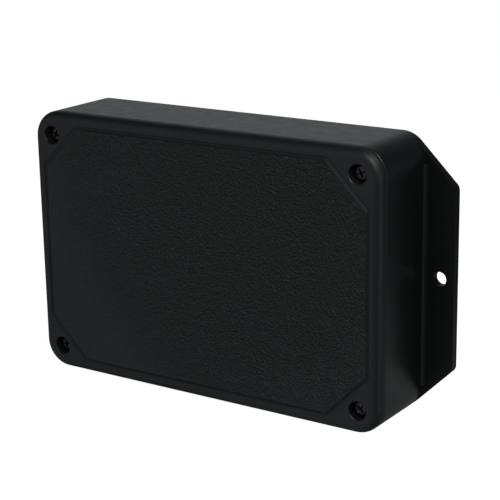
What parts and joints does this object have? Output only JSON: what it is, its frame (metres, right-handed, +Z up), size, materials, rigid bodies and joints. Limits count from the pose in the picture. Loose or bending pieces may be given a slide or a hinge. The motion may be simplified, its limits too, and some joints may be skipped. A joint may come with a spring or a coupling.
{
  "type": "cellular signal booster",
  "caption": "Flanged black plastic case of a cellular signal booster, with a screw-down lid, wall-fixing ears, threaded antenna jacks and a power jack on one end.",
  "frame": {"origin": "centre of the case's bottom face, on the surface that it stands on", "axes": "+X to the right with the lid facing the viewer, ports on -X; +Y towards the wall that the back is fixed to; +Z up"},
  "size_m": [0.1372, 0.027, 0.08],
  "materials": {
    "case_plastic": "fine moulded satin ABS, black",
    "lid_plastic": "black ABS with a fine leather grain on the panel and a smoother rim",
    "insert_brass": "turned, knurled",
    "screw_steel": "dark nickel plated steel",
    "board_laminate": "green solder resist over glass laminate",
    "spreader_aluminium": "milled, satin",
    "gap_pad": "soft silicone gap filler, matt",
    "chip_moulding": "epoxy moulding compound",
    "shield_tinplate": "tin plated sheet",
    "ferrite": "moulded ferrite, matt",
    "can_aluminium": "drawn can",
    "resistor_film": "glazed ceramic chip",
    "capacitor_ceramic": "fired ceramic chip",
    "jack_moulding": "glass filled moulding, black",
    "plated_nickel": "nickel plated",
    "led_moulding": "white moulding with a clear face",
    "light_pipe_clear": "clear moulded acrylic",
    "jack_gold": "gold plated brass",
    "white_insulator": "white fluoropolymer",
    "duplexer_ceramic": "silver fired ceramic block"
  },
  "bodies": {
    "case": {"base_case": "case_plastic", "board_screws": "screw_steel", "brass_inserts": "insert_brass", "chip_capacitors": "capacitor_ceramic", "chip_resistors": "resistor_film", "crystal": "shield_tinplate", "donor_duplexer": "duplexer_ceramic", "donor_jack_body": "jack_gold", "donor_jack_contact": "jack_gold", "donor_jack_insulator": "white_insulator", "donor_jack_nut": "jack_gold", "donor_jack_washer": "plated_nickel", "downlink_band_filter": "duplexer_ceramic", "downlink_low_noise_amplifier": "chip_moulding", "downlink_power_amplifier": "chip_moulding", "downlink_shield_cover": "shield_tinplate", "downlink_shield_frame": "shield_tinplate", "heat_spreader": "spreader_aluminium", "input_capacitor": "can_aluminium", "light_pipe": "light_pipe_clear", "main_board": "board_laminate", "microcontroller": "chip_moulding", "output_capacitor": "can_aluminium", "power_inductor": "ferrite", "power_jack_housing": "jack_moulding", "power_jack_pin": "plated_nickel", "power_jack_spring": "plated_nickel", "server_duplexer": "duplexer_ceramic", "server_jack_body": "jack_gold", "server_jack_contact": "jack_gold", "server_jack_insulator": "white_insulator", "server_jack_nut": "jack_gold", "server_jack_washer": "plated_nickel", "status_led": "led_moulding", "thermal_pad": "gap_pad", "uplink_band_filter": "duplexer_ceramic", "uplink_low_noise_amplifier": "chip_moulding", "uplink_power_amplifier": "chip_moulding", "uplink_shield_cover": "shield_tinplate", "uplink_shield_frame": "shield_tinplate", "voltage_regulator": "chip_moulding"},
    "lid": {"lid": "lid_plastic"},
    "screw_upper_left": {"lid_screw_upper_left": "screw_steel"},
    "screw_upper_right": {"lid_screw_upper_right": "screw_steel"},
    "screw_lower_left": {"lid_screw_lower_left": "screw_steel"},
    "screw_lower_right": {"lid_screw_lower_right": "screw_steel"}
  },
  "joints": [
    {"name": "lid_lift", "type": "slide", "parent": "case", "child": "lid", "axis": [0, -1, 0], "range_m": [0, 0.045]},
    {"name": "screw_upper_left_back_out", "type": "slide", "parent": "lid", "child": "screw_upper_left", "axis": [0, -1, 0], "range_m": [0, 0.011]},
    {"name": "screw_upper_right_back_out", "type": "slide", "parent": "lid", "child": "screw_upper_right", "axis": [0, -1, 0], "range_m": [0, 0.011]},
    {"name": "screw_lower_left_back_out", "type": "slide", "parent": "lid", "child": "screw_lower_left", "axis": [0, -1, 0], "range_m": [0, 0.011]},
    {"name": "screw_lower_right_back_out", "type": "slide", "parent": "lid", "child": "screw_lower_right", "axis": [0, -1, 0], "range_m": [0, 0.011]}
  ]
}
